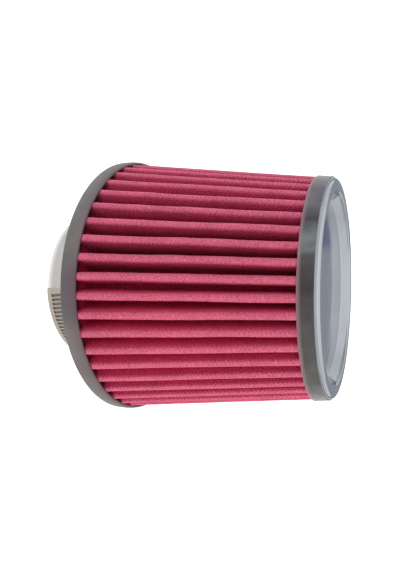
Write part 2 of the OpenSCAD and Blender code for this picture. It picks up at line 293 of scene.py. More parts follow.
def dyed_gauze(settings):
    """Cotton gauze, dyed and oiled, laid on both sides of coated wire and folded with it.
    The wires stand proud under the cloth, so the eye sees a fine diamond relief with fuzz on top."""
    material, tree, shader, place = surface("dyed_cotton_gauze")
    # The wire cloth lies on the bias: its wires, 1.5 mm apart, cross the folds at 45 degrees.
    wire_step = 1.5
    along = math.tau / (wire_step * math.sqrt(2))
    axes = add_node(tree, "ShaderNodeSeparateXYZ", {"Vector": place.outputs["UV"]})
    waves = []
    for side in ("ADD", "SUBTRACT"):
        diagonal = add_node(tree, "ShaderNodeMath",
                            {0: axes.outputs["X"], 1: axes.outputs["Y"]}, operation=side)
        turn = add_node(tree, "ShaderNodeMath", {0: diagonal.outputs[0], 1: along}, operation="MULTIPLY")
        wave = add_node(tree, "ShaderNodeMath", {0: turn.outputs[0]}, operation="SINE")
        waves.append(add_node(tree, "ShaderNodeMath",
                              {0: wave.outputs[0], 1: 0.5, 2: 0.5}, operation="MULTIPLY_ADD"))
    weave = add_node(tree, "ShaderNodeMath",
                     {0: waves[0].outputs[0], 1: waves[1].outputs[0]}, operation="MAXIMUM")
    # Loose cotton fibres: clumps of 0.8 mm and a wider unevenness of the dye at 12 mm.
    fibre = add_node(tree, "ShaderNodeTexNoise",
                     {"Vector": place.outputs["Object"], "Scale": 1 / (0.8 * MM), "Detail": 3.0,
                      "Roughness": 0.7})
    dye = add_node(tree, "ShaderNodeTexNoise",
                   {"Vector": place.outputs["Object"], "Scale": 1 / (12 * MM), "Detail": 2.0})
    relief = add_node(tree, "ShaderNodeMath",
                      {0: fibre.outputs["Fac"], 1: 0.7, 2: weave.outputs[0]}, operation="MULTIPLY_ADD")
    shade = add_node(tree, "ShaderNodeMapRange",
                     {"Value": relief.outputs[0], "From Min": 0.55, "From Max": 1.35, "To Min": 0.0,
                      "To Max": 1.0})
    # The oil darkens the folds, and a painted highlight makes the ridges paler.
    spot = add_node(tree, "ShaderNodeSeparateXYZ", {"Vector": place.outputs["Object"]})
    slope = (settings.base_r - settings.top_r) / (settings.top_z - settings.base_z)
    level = add_node(tree, "ShaderNodeMath",
                     {0: spot.outputs["Z"], 1: slope, 2: from_axis(tree, place)}, operation="MULTIPLY_ADD")
    ridge_level = settings.base_r + slope * settings.base_z
    height = add_node(tree, "ShaderNodeMapRange",
                      {"Value": level.outputs[0], "From Min": ridge_level - 10 * MM,
                       "From Max": ridge_level})
    uneven = add_node(tree, "ShaderNodeMath",
                      {0: shade.outputs[0], 1: 0.05, 2: height.outputs[0]}, operation="MULTIPLY_ADD")
    blend = add_node(tree, "ShaderNodeValToRGB", {"Fac": uneven.outputs[0]})
    ramp = blend.color_ramp
    ramp.elements[0].position, ramp.elements[0].color = 0.1, settings.gauze_deep
    ramp.elements[1].position, ramp.elements[1].color = 1.0, settings.gauze
    for position, tone in ((0.6, settings.gauze_fold), (0.86, settings.gauze_flank)):
        ramp.elements.new(position).color = tone
    tint = add_node(tree, "ShaderNodeHueSaturation", {"Color": blend.outputs["Color"]})
    clump = add_node(tree, "ShaderNodeMath",
                     {0: dye.outputs["Fac"], 1: 0.2, 2: fibre.outputs["Fac"]}, operation="MULTIPLY_ADD")
    lift = add_node(tree, "ShaderNodeMapRange",
                    {"Value": clump.outputs[0], "From Min": 0.4, "From Max": 0.8, "To Min": 0.62,
                     "To Max": 1.38})
    # Painted shade and light by side: the folds are darker inside towards -X and palest towards +X.
    across = add_node(tree, "ShaderNodeMapRange",
                      {"Value": spot.outputs["X"], "From Min": -15 * MM, "From Max": 45 * MM})
    gains = ((0, 0.29), (0.33, 0.6), (0.66, 0.56), (1, 0.66))
    gain = add_node(tree, "ShaderNodeValToRGB", {"Fac": across.outputs[0]})
    for _ in gains[2:]:
        gain.color_ramp.elements.new(0.5)
    for element, (position, share) in zip(gain.color_ramp.elements, gains):
        element.position, element.color = position, (share, share, share, 1)
    side_shade = add_node(tree, "ShaderNodeMath",
                       {0: gain.outputs["Color"], 1: 2.0, 2: -1.0}, operation="MULTIPLY_ADD")
    below = add_node(tree, "ShaderNodeMath", {0: 1.0, 1: height.outputs[0]}, operation="SUBTRACT")
    oiled = add_node(tree, "ShaderNodeMath",
                     {0: below.outputs[0], 1: side_shade.outputs[0], 2: 1.0}, operation="MULTIPLY_ADD")
    depth_tone = add_node(tree, "ShaderNodeMath",
                          {0: lift.outputs[0], 1: oiled.outputs[0]}, operation="MULTIPLY")
    tree.links.new(depth_tone.outputs[0], tint.inputs["Value"])
    tree.links.new(tint.outputs[0], shader.inputs["Base Color"])
    bump = add_node(tree, "ShaderNodeBump",
                    {"Height": relief.outputs[0], "Distance": 0.32 * MM, "Strength": 0.9})
    tree.links.new(bump.outputs[0], shader.inputs["Normal"])
    shader.inputs["Roughness"].default_value = 0.85
    shader.inputs["Specular IOR Level"].default_value = 0.06
    shader.inputs["Sheen Weight"].default_value = 0.12
    shader.inputs["Sheen Roughness"].default_value = 0.5
    shader.inputs["Sheen Tint"].default_value = linear("#F3B9C6")
    return material


def grey_urethane(settings):
    """Poured grey urethane: a satin skin with slow clouding, painted shade over the front of the rim, and a
    darker purple tone at the lip.
    """
    material, tree, shader, place = surface("poured_grey_urethane")
    cloud = add_node(tree, "ShaderNodeTexNoise",
                     {"Vector": place.outputs["Object"], "Scale": 1 / (13 * MM), "Detail": 4.0,
                      "Roughness": 0.6})
    grain = add_node(tree, "ShaderNodeTexNoise",
                     {"Vector": place.outputs["Object"], "Scale": 1 / (0.5 * MM), "Detail": 2.0})
    value = add_node(tree, "ShaderNodeMapRange",
                     {"Value": cloud.outputs["Fac"], "From Min": 0.3, "From Max": 0.7, "To Min": 0.8,
                      "To Max": 1.2})
    tint = add_node(tree, "ShaderNodeHueSaturation",
                    {"Color": settings.base_colour, "Value": value.outputs[0]})
    axes = add_node(tree, "ShaderNodeSeparateXYZ", {"Vector": place.outputs["Object"]})
    wander = add_node(tree, "ShaderNodeMath",
                      {0: cloud.outputs["Fac"], 1: 5 * MM, 2: axes.outputs["Z"]}, operation="MULTIPLY_ADD")
    # Painted shade: the front of the rim, seen face on, is darker and a little purple over the middle 30 mm.
    middle = add_node(tree, "ShaderNodeMapRange",
                      {"Value": gap_to(tree, axes.outputs["X"], 4 * MM),
                       "From Min": 7 * MM, "From Max": 20 * MM, "To Min": 0.65, "To Max": 0.0})
    front = add_node(tree, "ShaderNodeMix",
                     {"Factor": middle.outputs[0], "A": tint.outputs[0], "B": linear("#4D4750")},
                     data_type="RGBA")
    # The lip by the folds turns darker and purple.
    high = settings.neck_l + 11.5 * MM
    lip = add_node(tree, "ShaderNodeMapRange",
                   {"Value": wander.outputs[0], "From Min": high - 7 * MM, "From Max": high, "To Max": 0.45})
    stained = add_node(tree, "ShaderNodeMix",
                       {"Factor": lip.outputs[0], "A": front.outputs["Result"], "B": linear("#64394A")},
                       data_type="RGBA")
    tree.links.new(stained.outputs["Result"], shader.inputs["Base Color"])
    rough = add_node(tree, "ShaderNodeMapRange",
                     {"Value": cloud.outputs["Fac"], "To Min": 0.42, "To Max": 0.6})
    tree.links.new(rough.outputs[0], shader.inputs["Roughness"])
    bump = add_node(tree, "ShaderNodeBump",
                    {"Height": grain.outputs["Fac"], "Distance": 0.05 * MM, "Strength": 0.5})
    tree.links.new(bump.outputs[0], shader.inputs["Normal"])
    return material


def resin_stain_and_shade():
    """Potting resin between the ends of the folds, stained by dye and oil, with painted shade that turns it
    near black towards the rim.
    """
    material, tree, shader, place = surface("oil_stained_resin")
    # Painted shade: near black from 67.5 mm out to the rim, where shadow falls between the folds.
    rim = add_node(tree, "ShaderNodeMapRange",
                   {"Value": from_axis(tree, place), "From Min": 67.5 * MM, "From Max": 71.5 * MM})
    blend = add_node(tree, "ShaderNodeMix",
                     {"Factor": rim.outputs[0], "A": linear("#B4204A"), "B": linear("#1C0A10")},
                     data_type="RGBA")
    tree.links.new(blend.outputs["Result"], shader.inputs["Base Color"])
    shader.inputs["Roughness"].default_value = 0.6
    return material


def dark_urethane(settings):
    """Poured dark urethane from a polished mould: a glossy skin over slow ripples, with painted reflections
    in lighter and darker patches, and a dye stain with a painted highlight where it meets the folds."""
    material, tree, shader, place = surface("poured_dark_urethane")
    ripple = add_node(tree, "ShaderNodeTexNoise",
                      {"Vector": place.outputs["Object"], "Scale": 1 / (7 * MM), "Detail": 3.0,
                       "Roughness": 0.55})
    axes = add_node(tree, "ShaderNodeSeparateXYZ", {"Vector": place.outputs["Object"]})
    # Painted reflections lie in patches across the ring; their edges wander by a millimetre or two.
    wander = add_node(tree, "ShaderNodeMath",
                      {0: ripple.outputs["Fac"], 1: 3 * MM, 2: axes.outputs["X"]}, operation="MULTIPLY_ADD")
    across = add_node(tree, "ShaderNodeMapRange",
                      {"Value": wander.outputs[0], "From Min": -58.5 * MM, "From Max": 61.5 * MM})
    reflection_patches = add_node(tree, "ShaderNodeValToRGB", {"Fac": across.outputs[0]})
    patches = ((0.08, "#57545A"), (0.17, "#635F68"), (0.24, "#37343B"), (0.315, "#6B7475"), (0.36, "#6A6B70"),
               (0.38, settings.ring_colour), (0.5, "#382C32"), (0.54, "#4A4045"), (0.65, "#4A4647"),
               (0.77, "#4A4847"), (0.95, "#5C5A58"))
    for _ in patches[2:]:
        reflection_patches.color_ramp.elements.new(1.0)
    for element, (spot, tone) in zip(reflection_patches.color_ramp.elements, patches):
        element.position, element.color = spot, linear(tone) if isinstance(tone, str) else tone
    value = add_node(tree, "ShaderNodeMapRange",
                     {"Value": ripple.outputs["Fac"], "From Min": 0.3, "From Max": 0.7, "To Min": 0.7,
                      "To Max": 1.2})
    tint = add_node(tree, "ShaderNodeHueSaturation",
                    {"Color": reflection_patches.outputs["Color"], "Value": value.outputs[0]})
    # Dye stain with a painted highlight: the lip beside the folds is lighter and pink.
    low = settings.ring_z
    lip = add_node(tree, "ShaderNodeMapRange",
                   {"Value": axes.outputs["Z"], "From Min": low + 0.8 * MM, "From Max": low + 2.2 * MM,
                    "To Min": 0.8, "To Max": 0.0})
    stained = add_node(tree, "ShaderNodeMix",
                       {"Factor": lip.outputs[0], "A": tint.outputs[0], "B": linear("#8A6C74")},
                       data_type="RGBA")
    tree.links.new(stained.outputs["Result"], shader.inputs["Base Color"])
    bump = add_node(tree, "ShaderNodeBump",
                    {"Height": ripple.outputs["Fac"], "Distance": 0.3 * MM, "Strength": 0.35})
    tree.links.new(bump.outputs[0], shader.inputs["Normal"])
    shader.inputs["Roughness"].default_value = 0.25
    return material


def bright_chrome(settings):
    """Chrome plating on pressed sheet: a clear mirror with faint handling haze."""
    material, tree, shader, place = surface("bright_chrome_plate")
    haze = add_node(tree, "ShaderNodeTexNoise",
                    {"Vector": place.outputs["Object"], "Scale": 1 / (22 * MM), "Detail": 5.0,
                     "Roughness": 0.65})
    value = add_node(tree, "ShaderNodeMapRange",
                     {"Value": haze.outputs["Fac"], "To Min": 0.94, "To Max": 1.04})
    tint = add_node(tree, "ShaderNodeHueSaturation",
                    {"Color": settings.chrome, "Value": value.outputs[0]})
    radius = from_axis(tree, place)
    # The wheel doesn't reach the foot of the wall, which stays duller than the floor.
    foot = settings.recess_r - settings.slant
    dull = add_node(tree, "ShaderNodeMapRange",
                    {"Value": gap_to(tree, radius, foot), "From Min": 0.5 * MM, "From Max": 4 * MM,
                     "To Min": 0.24, "To Max": 0.0})
    rough = add_node(tree, "ShaderNodeMath",
                     {0: haze.outputs["Fac"], 1: 0.08, 2: dull.outputs[0]}, operation="MULTIPLY_ADD")
    floor_rough = add_node(tree, "ShaderNodeMath", {0: rough.outputs[0], 1: 0.04}, operation="ADD")
    tree.links.new(floor_rough.outputs[0], shader.inputs["Roughness"])
    # Painted reflection: a dark hairline along the edge of the recess on two sides.
    edge = settings.recess_r + 0.2 * MM
    axes = add_node(tree, "ShaderNodeSeparateXYZ", {"Vector": place.outputs["Object"]})
    aside = add_node(tree, "ShaderNodeMath", {0: axes.outputs["X"]}, operation="ABSOLUTE")
    sides = add_node(tree, "ShaderNodeMapRange",
                     {"Value": aside.outputs[0], "From Min": 20 * MM, "From Max": 42 * MM,
                      "To Max": 0.9 * MM})
    line = add_node(tree, "ShaderNodeMapRange",
                    {"Value": gap_to(tree, radius, edge), "From Min": 0.0, "From Max": sides.outputs[0],
                     "To Min": 1.0, "To Max": 0.0})
    broken = add_node(tree, "ShaderNodeMath",
                      {0: line.outputs[0], 1: haze.outputs["Fac"]}, operation="MULTIPLY")
    dark_edge_reflection = add_node(tree, "ShaderNodeMix",
                     {"Factor": broken.outputs[0], "A": tint.outputs[0], "B": linear("#16181B")},
                     data_type="RGBA")
    tree.links.new(dark_edge_reflection.outputs["Result"], shader.inputs["Base Color"])
    shader.inputs["Metallic"].default_value = 1.0
    return material


def rolled_stainless(settings, name, band=False):
    """Cold-rolled stainless: fine lines along the roll and soft broken reflections. The band has a painted
    highlight towards its lower edge, its tail is a warmer grey, and its slots are clogged with grime."""
    material, tree, shader, place = surface(name)
    mapping = add_node(tree, "ShaderNodeMapping",
                       {"Vector": place.outputs["Object"], "Scale": (1.0, 1.0, 9.0)})
    lines = add_node(tree, "ShaderNodeTexNoise",
                     {"Vector": mapping.outputs[0], "Scale": 1 / (2.5 * MM), "Detail": 5.0,
                      "Roughness": 0.6})
    gloss = add_node(tree, "ShaderNodeMapRange",
                     {"Value": lines.outputs["Fac"], "To Min": 0.24, "To Max": 0.42})
    tree.links.new(gloss.outputs[0], shader.inputs["Roughness"])
    axes = add_node(tree, "ShaderNodeSeparateXYZ", {"Vector": place.outputs["Object"]})
    # Painted highlight: the steel turns white towards the lower edge of the band.
    edge_highlight = add_node(tree, "ShaderNodeMapRange",
                    {"Value": axes.outputs["Z"], "From Min": settings.band_z + 0.2 * MM,
                     "From Max": settings.band_z + 3.2 * MM, "To Min": 1.0, "To Max": 0.0})
    tone = add_node(tree, "ShaderNodeMix",
                    {"Factor": edge_highlight.outputs[0], "A": settings.steel, "B": WHITE}, data_type="RGBA")
    if band:
        tip, housing = settings.tail_turn, settings.housing_turn
        middle = settings.band_z + settings.band_w / 2
        turn = add_node(tree, "ShaderNodeMath",
                        {0: axes.outputs["Y"], 1: axes.outputs["X"]}, operation="ARCTAN2")
        on_tail = add_node(tree, "ShaderNodeMath",
                           {0: turn.outputs[0], 1: (tip + housing) / 2, 2: (housing - tip) / 2},
                           operation="COMPARE")
        low = add_node(tree, "ShaderNodeMath",
                       {0: from_axis(tree, place), 1: settings.outer_r + settings.band_t / 3},
                       operation="LESS_THAN")
        at_slot = add_node(tree, "ShaderNodeMath",
                           {0: axes.outputs["Z"], 1: middle, 2: settings.slot_l / 2 + 0.1 * MM},
                           operation="COMPARE")
        inside = add_node(tree, "ShaderNodeMath",
                          {0: low.outputs[0], 1: at_slot.outputs[0]}, operation="MULTIPLY")
        clogged = add_node(tree, "ShaderNodeMath", {0: inside.outputs[0], 1: on_tail.outputs[0]},
                           operation="MULTIPLY")
        tail_tint = add_node(tree, "ShaderNodeMath", {0: on_tail.outputs[0], 1: 0.8}, operation="MULTIPLY")
        warm = add_node(tree, "ShaderNodeMix",
                        {"Factor": tail_tint.outputs[0], "A": tone.outputs["Result"], "B": settings.tail},
                        data_type="RGBA")
        # The fill of the slots is darker near the tip and paler further along the tail.
        dark_end, pale_start = tip + math.radians(12), tip + math.radians(28)
        away = add_node(tree, "ShaderNodeMapRange",
                        {"Value": turn.outputs[0], "From Min": dark_end, "From Max": pale_start})
        grime = add_node(tree, "ShaderNodeMix",
                         {"Factor": away.outputs[0], "A": linear("#8C837A"), "B": linear("#9C9389")},
                         data_type="RGBA")
        tone = add_node(tree, "ShaderNodeMix",
                        {"Factor": clogged.outputs[0], "A": warm.outputs["Result"],
                         "B": grime.outputs["Result"]},
                        data_type="RGBA")
        dull = add_node(tree, "ShaderNodeMath", {0: 1.0, 1: clogged.outputs[0]}, operation="SUBTRACT")
        tree.links.new(dull.outputs[0], shader.inputs["Metallic"])
    else:
        shader.inputs["Metallic"].default_value = 1.0
    value = add_node(tree, "ShaderNodeMapRange",
                     {"Value": lines.outputs["Fac"], "To Min": 0.88, "To Max": 1.08})
    tint = add_node(tree, "ShaderNodeHueSaturation",
                    {"Color": tone.outputs["Result"], "Value": value.outputs[0]})
    tree.links.new(tint.outputs[0], shader.inputs["Base Color"])
    bump = add_node(tree, "ShaderNodeBump",
                    {"Height": lines.outputs["Fac"], "Distance": 0.02 * MM, "Strength": 0.4})
    tree.links.new(bump.outputs[0], shader.inputs["Normal"])
    return material


def zinc_sheet():
    """Zinc-plated perforated sheet: dull metal with the spangle of the zinc bath."""
    material, tree, shader, place = surface("zinc_plated_sheet")
    spangle = add_node(tree, "ShaderNodeTexVoronoi",
                       {"Vector": place.outputs["Object"], "Scale": 1 / (6 * MM)})
    value = add_node(tree, "ShaderNodeMapRange",
                     {"Value": spangle.outputs["Distance"], "To Min": 0.85, "To Max": 1.1})
    tint = add_node(tree, "ShaderNodeHueSaturation",
                    {"Color": linear("#9FA3A6"), "Value": value.outputs[0]})
    tree.links.new(tint.outputs[0], shader.inputs["Base Color"])
    rough = add_node(tree, "ShaderNodeMapRange",
                     {"Value": spangle.outputs["Distance"], "To Min": 0.35, "To Max": 0.55})
    tree.links.new(rough.outputs[0], shader.inputs["Roughness"])
    shader.inputs["Metallic"].default_value = 1.0
    return material


# Pleated element

def fold_line(settings, ridge_r, across):
    """Points of one fold about +X, from valley to valley, as (x, y).
    ridge_r is the middle-line radius of the ridge; across is the point count of each stretch."""
    half = math.pi / settings.folds
    rr, vr = settings.ridge_fold, settings.valley_fold
    valley_r = ridge_r - settings.depth + settings.sheet
    foot = Vector(((valley_r + vr) * math.cos(half), (valley_r + vr) * math.sin(half)))
    crest = Vector((ridge_r - rr, 0))
    run = foot - crest
    normal = math.atan2(run.y, run.x) - math.acos((rr + vr) / run.length)
    points = []
    for i in range(across[0] + 1):
        a = half + math.pi + (normal - half) * i / across[0]
        points.append(foot + vr * Vector((math.cos(a), math.sin(a))))
    start, end = points[-1], crest + rr * Vector((math.cos(normal), math.sin(normal)))
    for i in range(1, across[1]):
        points.append(start.lerp(end, i / across[1]))
    for i in range(across[2] + 1):
        a = normal * (1 - i / across[2])
        points.append(crest + rr * Vector((math.cos(a), math.sin(a))))
    points += [Vector((p.x, -p.y)) for p in reversed(points[:-1])]
    return points


class AIRFILTER_OT_element(bpy.types.Operator):
    """Folded sheet of dyed gauze on coated wire"""
    bl_idname = "airfilter.element"
    bl_label = "Pleated element"

    def execute(self, context):
        s = context.scene.airfilter_element
        levels = 28
        across = (3, 5, 5)
        low, high = s.base_z - s.sunk_base, s.top_z + s.sunk_top
        columns = len(fold_line(s, s.base_r, across))
        start_piece()
        bpy.ops.mesh.primitive_grid_add(x_subdivisions=columns - 1, y_subdivisions=levels, size=1,
                                        location=(0, 0, 0), calc_uvs=True)
        piece = name_piece("gauze_folds")
        mesh = piece.data
        spots = []
        for vertex in mesh.vertices:
            column = round((vertex.co.x + 0.5) * (columns - 1))
            level = vertex.co.y + 0.5
            z = low + (high - low) * level
            line = fold_line(s, ridge_r_at(s, z) - s.sheet / 2, across)
            run = sum((line[i + 1] - line[i]).length for i in range(column))
            point = line[column]
            spots.append((run / MM, z / MM))
            vertex.co = (point.x, point.y, z)
        layer = mesh.uv_layers[0]
        for loop in mesh.loops:
            layer.data[loop.index].uv = spots[loop.vertex_index]
        bpy.ops.object.mode_set(mode="EDIT")
        bpy.ops.mesh.select_all(action="SELECT")
        bpy.ops.transform.rotate(value=-s.first_ridge, orient_axis="Z", center_override=(0, 0, 0))
        bpy.ops.mesh.spin(steps=s.folds, dupli=True, angle=math.tau, center=(0, 0, 0), axis=(0, 0, 1))
        bpy.ops.mesh.select_all(action="SELECT")
        bpy.ops.mesh.remove_doubles(threshold=0.02 * MM)
        bpy.ops.mesh.normals_make_consistent(inside=False)
        bpy.ops.object.mode_set(mode="OBJECT")
        middle = (low + high) / 2
        # Slow waves push the folds aside; the finer kinks over them push aside and inward.
        slow_turn, slow_rise, slow_share = 9, 38 * MM, 1.4
        fine_turn, fine_rise, fine_share, fine_start = 31, 9 * MM, 0.45, 40
        inward = 0.35
        for vertex in mesh.vertices:
            x, y, z = vertex.co
            turn = math.atan2(y, x)
            r = math.hypot(x, y)
            # The folds are held at both ends and wander most half way up.
            free = 1 - ((z - middle) / (high - middle)) ** 4
            way_x, way_y = math.cos(turn), math.sin(turn)
            slow = noise.noise(Vector((way_x * slow_turn, way_y * slow_turn, z / slow_rise)))
            fine_z = z / fine_rise + fine_start
            fine = noise.noise(Vector((way_x * fine_turn, way_y * fine_turn, fine_z)))
            side = s.waviness * free * (slow_share * slow + fine_share * fine) / r
            out = -inward * s.waviness * free * (1 + fine)
            vertex.co = ((r + out) * math.cos(turn + side), (r + out) * math.sin(turn + side), z)
        apply_modifier(piece, "SOLIDIFY", thickness=s.sheet, offset=0.0, use_even_offset=True)
        smooth(piece, 60)
        piece.data.materials.clear()
        piece.data.materials.append(dyed_gauze(s))
        finish_piece(piece, FILTER_BODY, "pleated_media", "pleated_media")
        return {"FINISHED"}


# Mouldings and cap

class AIRFILTER_OT_base_cap(bpy.types.Operator):
    """Moulded base: flange, channel for the folds and neck"""
    bl_idname = "airfilter.base_cap"
    bl_label = "Base cap"

    def execute(self, context):
        s, e = context.scene.airfilter_mouldings, context.scene.airfilter_element
        top, low, seat = e.base_z, s.neck_l, e.base_z - e.sunk_base
        channel_out, channel_in = ridge_r_at(e, top) + e.play, core_in_at(e, top) - e.play
        lip_r, half = channel_out + s.lip_flat, (top - low) / 2
        points = [(s.bore_r, s.mouth), (s.bore_r + s.mouth, 0.0)]
        points += arc(s.neck_r - s.mouth, s.mouth, s.mouth, -90, 0, 4)
        points += arc(s.neck_r + s.fillet_r, low - s.fillet_r, s.fillet_r, 180, 90, 8)
        points += arc(s.flange_r - s.flange_edge, low + s.flange_edge, s.flange_edge, -90, 0, 6)
        points += arc(lip_r, top - half, s.flange_r - lip_r, 0, 90, 8, half)
        points += [(channel_out, top), (ridge_r_at(e, seat) + e.play, seat)]
        points += [(core_in_at(e, seat) - e.play, seat), (channel_in, top)]
        points += arc(s.bore_r + s.flare_r, top - s.flare_r, s.flare_r, 90, 180, 8)
        piece = turn_piece("base_moulding", points)
        smooth(piece)
        piece.data.materials.append(grey_urethane(s))
        piece.data.materials.append(resin_stain_and_shade())
        for face in piece.data.polygons:
            spot = face.center
            inside = channel_in < math.hypot(spot.x, spot.y) < lip_r - s.lip_flat / 2
            face.material_index = 1 if inside and seat - s.lip_flat < spot.z < top - s.lip_flat / 2 else 0
        finish_piece(piece, FILTER_BODY, "base_cap", "base_cap")
        return {"FINISHED"}


def cap_profile(s, ring_top, inset):
    """Face of the pressed cap, moved in by inset from the bright side."""
    crown = ring_top + s.rise
    floor = crown - s.recess_depth
    edge = Vector((s.recess_r + s.edge_r, crown - s.edge_r))
    foot = Vector((s.recess_r - s.slant, floor + s.foot_r))
    run = foot - edge
    lean = math.degrees(math.acos((s.edge_r + s.foot_r) / run.length))
    wall = math.degrees(math.atan2(run.y, run.x)) + 360 - lean
    points = arc(s.cap_r - s.rise, ring_top, s.rise - inset, 0, 90, 10)
    points += arc(edge.x, edge.y, s.edge_r - inset, 90, wall, 8)
    points += arc(foot.x, foot.y, s.foot_r + inset, wall + 180, 270, 8)
    rings = 16
    for i in range(1, rings + 1):
        r = foot.x * (1 - i / rings)
        points.append((r, floor - inset - s.dish * (1 - (r / foot.x) ** 2)))
    return points


class AIRFILTER_OT_end_cap(bpy.types.Operator):
    """Pressed and plated cap with a rolled rim and a recessed face"""
    bl_idname = "airfilter.end_cap"
    bl_label = "End cap"

    def execute(self, context):
        s = context.scene.airfilter_cap
        ring_top = context.scene.airfilter_mouldings.ring_top_z
        points = cap_profile(s, ring_top, 0.0) + list(reversed(cap_profile(s, ring_top, s.sheet)))
        piece = turn_piece("pressed_cap", points, steps=192)
        smooth(piece, 50)
        piece.data.materials.append(bright_chrome(s))
        finish_piece(piece, FILTER_BODY, "end_cap", "end_cap")
        return {"FINISHED"}


class AIRFILTER_OT_top_ring(bpy.types.Operator):
    """Moulded ring at the small end of the folds"""
    bl_idname = "airfilter.top_ring"
    bl_label = "Top ring"

    def execute(self, context):
        s, e = context.scene.airfilter_mouldings, context.scene.airfilter_element
        cap = context.scene.airfilter_cap
        low, high, seat = s.ring_z, s.ring_top_z, s.ring_z + e.sunk_top
        foot_r = cap.recess_r - cap.slant
        # The ring's face lies just clear of the underside of the cap.
        clear = e.play / 5
        under = [p for p in cap_profile(cap, high, cap.sheet + clear) if p[0] > foot_r - e.play]
        web = high + cap.rise - cap.recess_depth - cap.sheet - s.web_gap
        lip_out = core_in_at(e, seat) - e.play
        lip_in = lip_out - s.inner_lip_w
        points = [(ridge_r_at(e, seat) + e.play, seat), (ridge_r_at(e, low) + e.play, low)]
        points += arc(s.ring_r - s.ring_bead, low + s.ring_bead, s.ring_bead, -90, 20, 6)
        points += [(s.ring_top_r, high)] + under + [(foot_r, web), (lip_in, web)]
        points += [(lip_in, low - s.inner_lip_drop), (lip_out, low - s.inner_lip_drop), (lip_out, seat)]
        piece = turn_piece("ring_moulding", points)
        smooth(piece)
        piece.data.materials.append(dark_urethane(s))
        finish_piece(piece, FILTER_BODY, "top_ring", "top_ring")
        return {"FINISHED"}


class AIRFILTER_OT_support_core(bpy.types.Operator):
    """Perforated metal cone inside the folds"""
    bl_idname = "airfilter.support_core"
    bl_label = "Support core"

    def execute(self, context):
        dress_node("support_core", zinc_sheet())
        return {"FINISHED"}


def dress_node(node, material):
    """Gives a CAD node its finish in its own material slots."""
    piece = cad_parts[node]
    if not piece.material_slots:
        piece.data.materials.append(material)
    for slot in piece.material_slots:
        slot.material = material


def bevel_node(node, width, material, body):
    """Stands in for a CAD node with a copy of its mesh whose sharp edges are broken."""
    start_piece()
    pick(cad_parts[node])
    bpy.ops.object.duplicate()
    piece = name_piece(node + "_finished")
    bpy.ops.object.mode_set(mode="EDIT")
    bpy.ops.mesh.select_all(action="SELECT")
    bpy.ops.mesh.remove_doubles(threshold=0.001 * MM)
    bpy.ops.mesh.normals_make_consistent(inside=False)
    bpy.ops.object.mode_set(mode="OBJECT")
    apply_modifier(piece, "BEVEL", width=width, segments=2, limit_method="ANGLE",
                   angle_limit=math.radians(40), use_clamp_overlap=True)
    smooth(piece)
    piece.data.materials.clear()
    piece.data.materials.append(material)
    finish_piece(piece, body, node, node)


# Clamp

class AIRFILTER_OT_clamp(bpy.types.Operator):
    """Slotted band, worm housing and worm screw"""
    bl_idname = "airfilter.clamp"
    bl_label = "Hose clamp"

    def execute(self, context):
        s = context.scene.airfilter_clamp
        strip = rolled_stainless(s, "rolled_stainless_strip", band=True)
        steel = rolled_stainless(s, "pressed_stainless_sheet")
        bevel_node("clamp_band", s.strip_edge, strip, FILTER_BODY)
        bevel_node("clamp_housing", s.strip_edge, steel, FILTER_BODY)
        bevel_node("clamp_screw", s.screw_edge, steel, SCREW_BODY)
        return {"FINISHED"}


# Stage

def aim(obj, target):
    obj.rotation_euler = (Vector(target) - obj.location).to_track_quat("-Z", "Y").to_euler()


def soft_light(name, place_mm, target_mm, size_mm, watts, hex_code="#FFFFFF"):
    bpy.ops.object.light_add(type="AREA", location=[c * MM for c in place_mm])
    lamp = bpy.context.object
    lamp.name = name
    lamp.data.shape = "RECTANGLE"
    lamp.data.size, lamp.data.size_y = [c * MM for c in size_mm]
    lamp.data.energy = watts
    lamp.data.color = linear(hex_code)[:3]
    aim(lamp, [c * MM for c in target_mm])
    return lamp


class AIRFILTER_OT_stage(bpy.types.Operator):
    """Camera, soft lights, pale floor and white surroundings"""
    bl_idname = "airfilter.stage"
    bl_label = "Stage"

    def execute(self, context):
        scene = context.scene
        scene.view_settings.view_transform = "Standard"
        # The photograph shows the filter on its side: the camera is rolled so that +Z points right.
        rise, roll = math.radians(CAMERA_RISE), math.radians(CAMERA_ROLL)
        back = Vector((0, -math.cos(rise), math.sin(rise)))
        up = Vector((0, math.sin(rise), math.cos(rise)))
        side = Vector((1, 0, 0))
        right = up * math.cos(roll) + side * math.sin(roll)
        down = side * math.cos(roll) - up * math.sin(roll)
        # The fitted aim lies near the middle of the filter's axis.
        target = Vector((-0.7 * MM, 0, 76.7 * MM)) + right * 0.9 * MM
        bpy.ops.object.camera_add(location=target + back * CAMERA_DISTANCE)
        camera = bpy.context.object
        camera.name = "photo_camera"
        camera.rotation_euler = Matrix((right, -down, back)).transposed().to_euler()
        camera.data.sensor_width = SENSOR_MM
        camera.data.lens = FOCAL_PX * SENSOR_MM / PICTURE_H_PX
        camera.data.clip_start = 0.01
        scene.camera = camera

        start_piece()
        bpy.ops.mesh.primitive_plane_add(size=12, location=(0, 0, 0))
        floor = name_piece("pale_floor")
        floor.data.materials.append(pale_floor())

        middle = (0, 0, 100)
        soft_light("key_softbox", (-260, -355, 66), middle, (170, 110), 0.35)
        for name, place, watts, tint in (("top_softbox", (-490, 60, 150), 0.75, "#EEF2FF"),
                                         ("low_softbox", (470, -230, 140), 1.3, "#FFF6F2")):
            lamp = soft_light(name, place, middle, (260, 200), watts, tint)
            lamp.visible_glossy = False
        white_surroundings(scene)
        return {"FINISHED"}


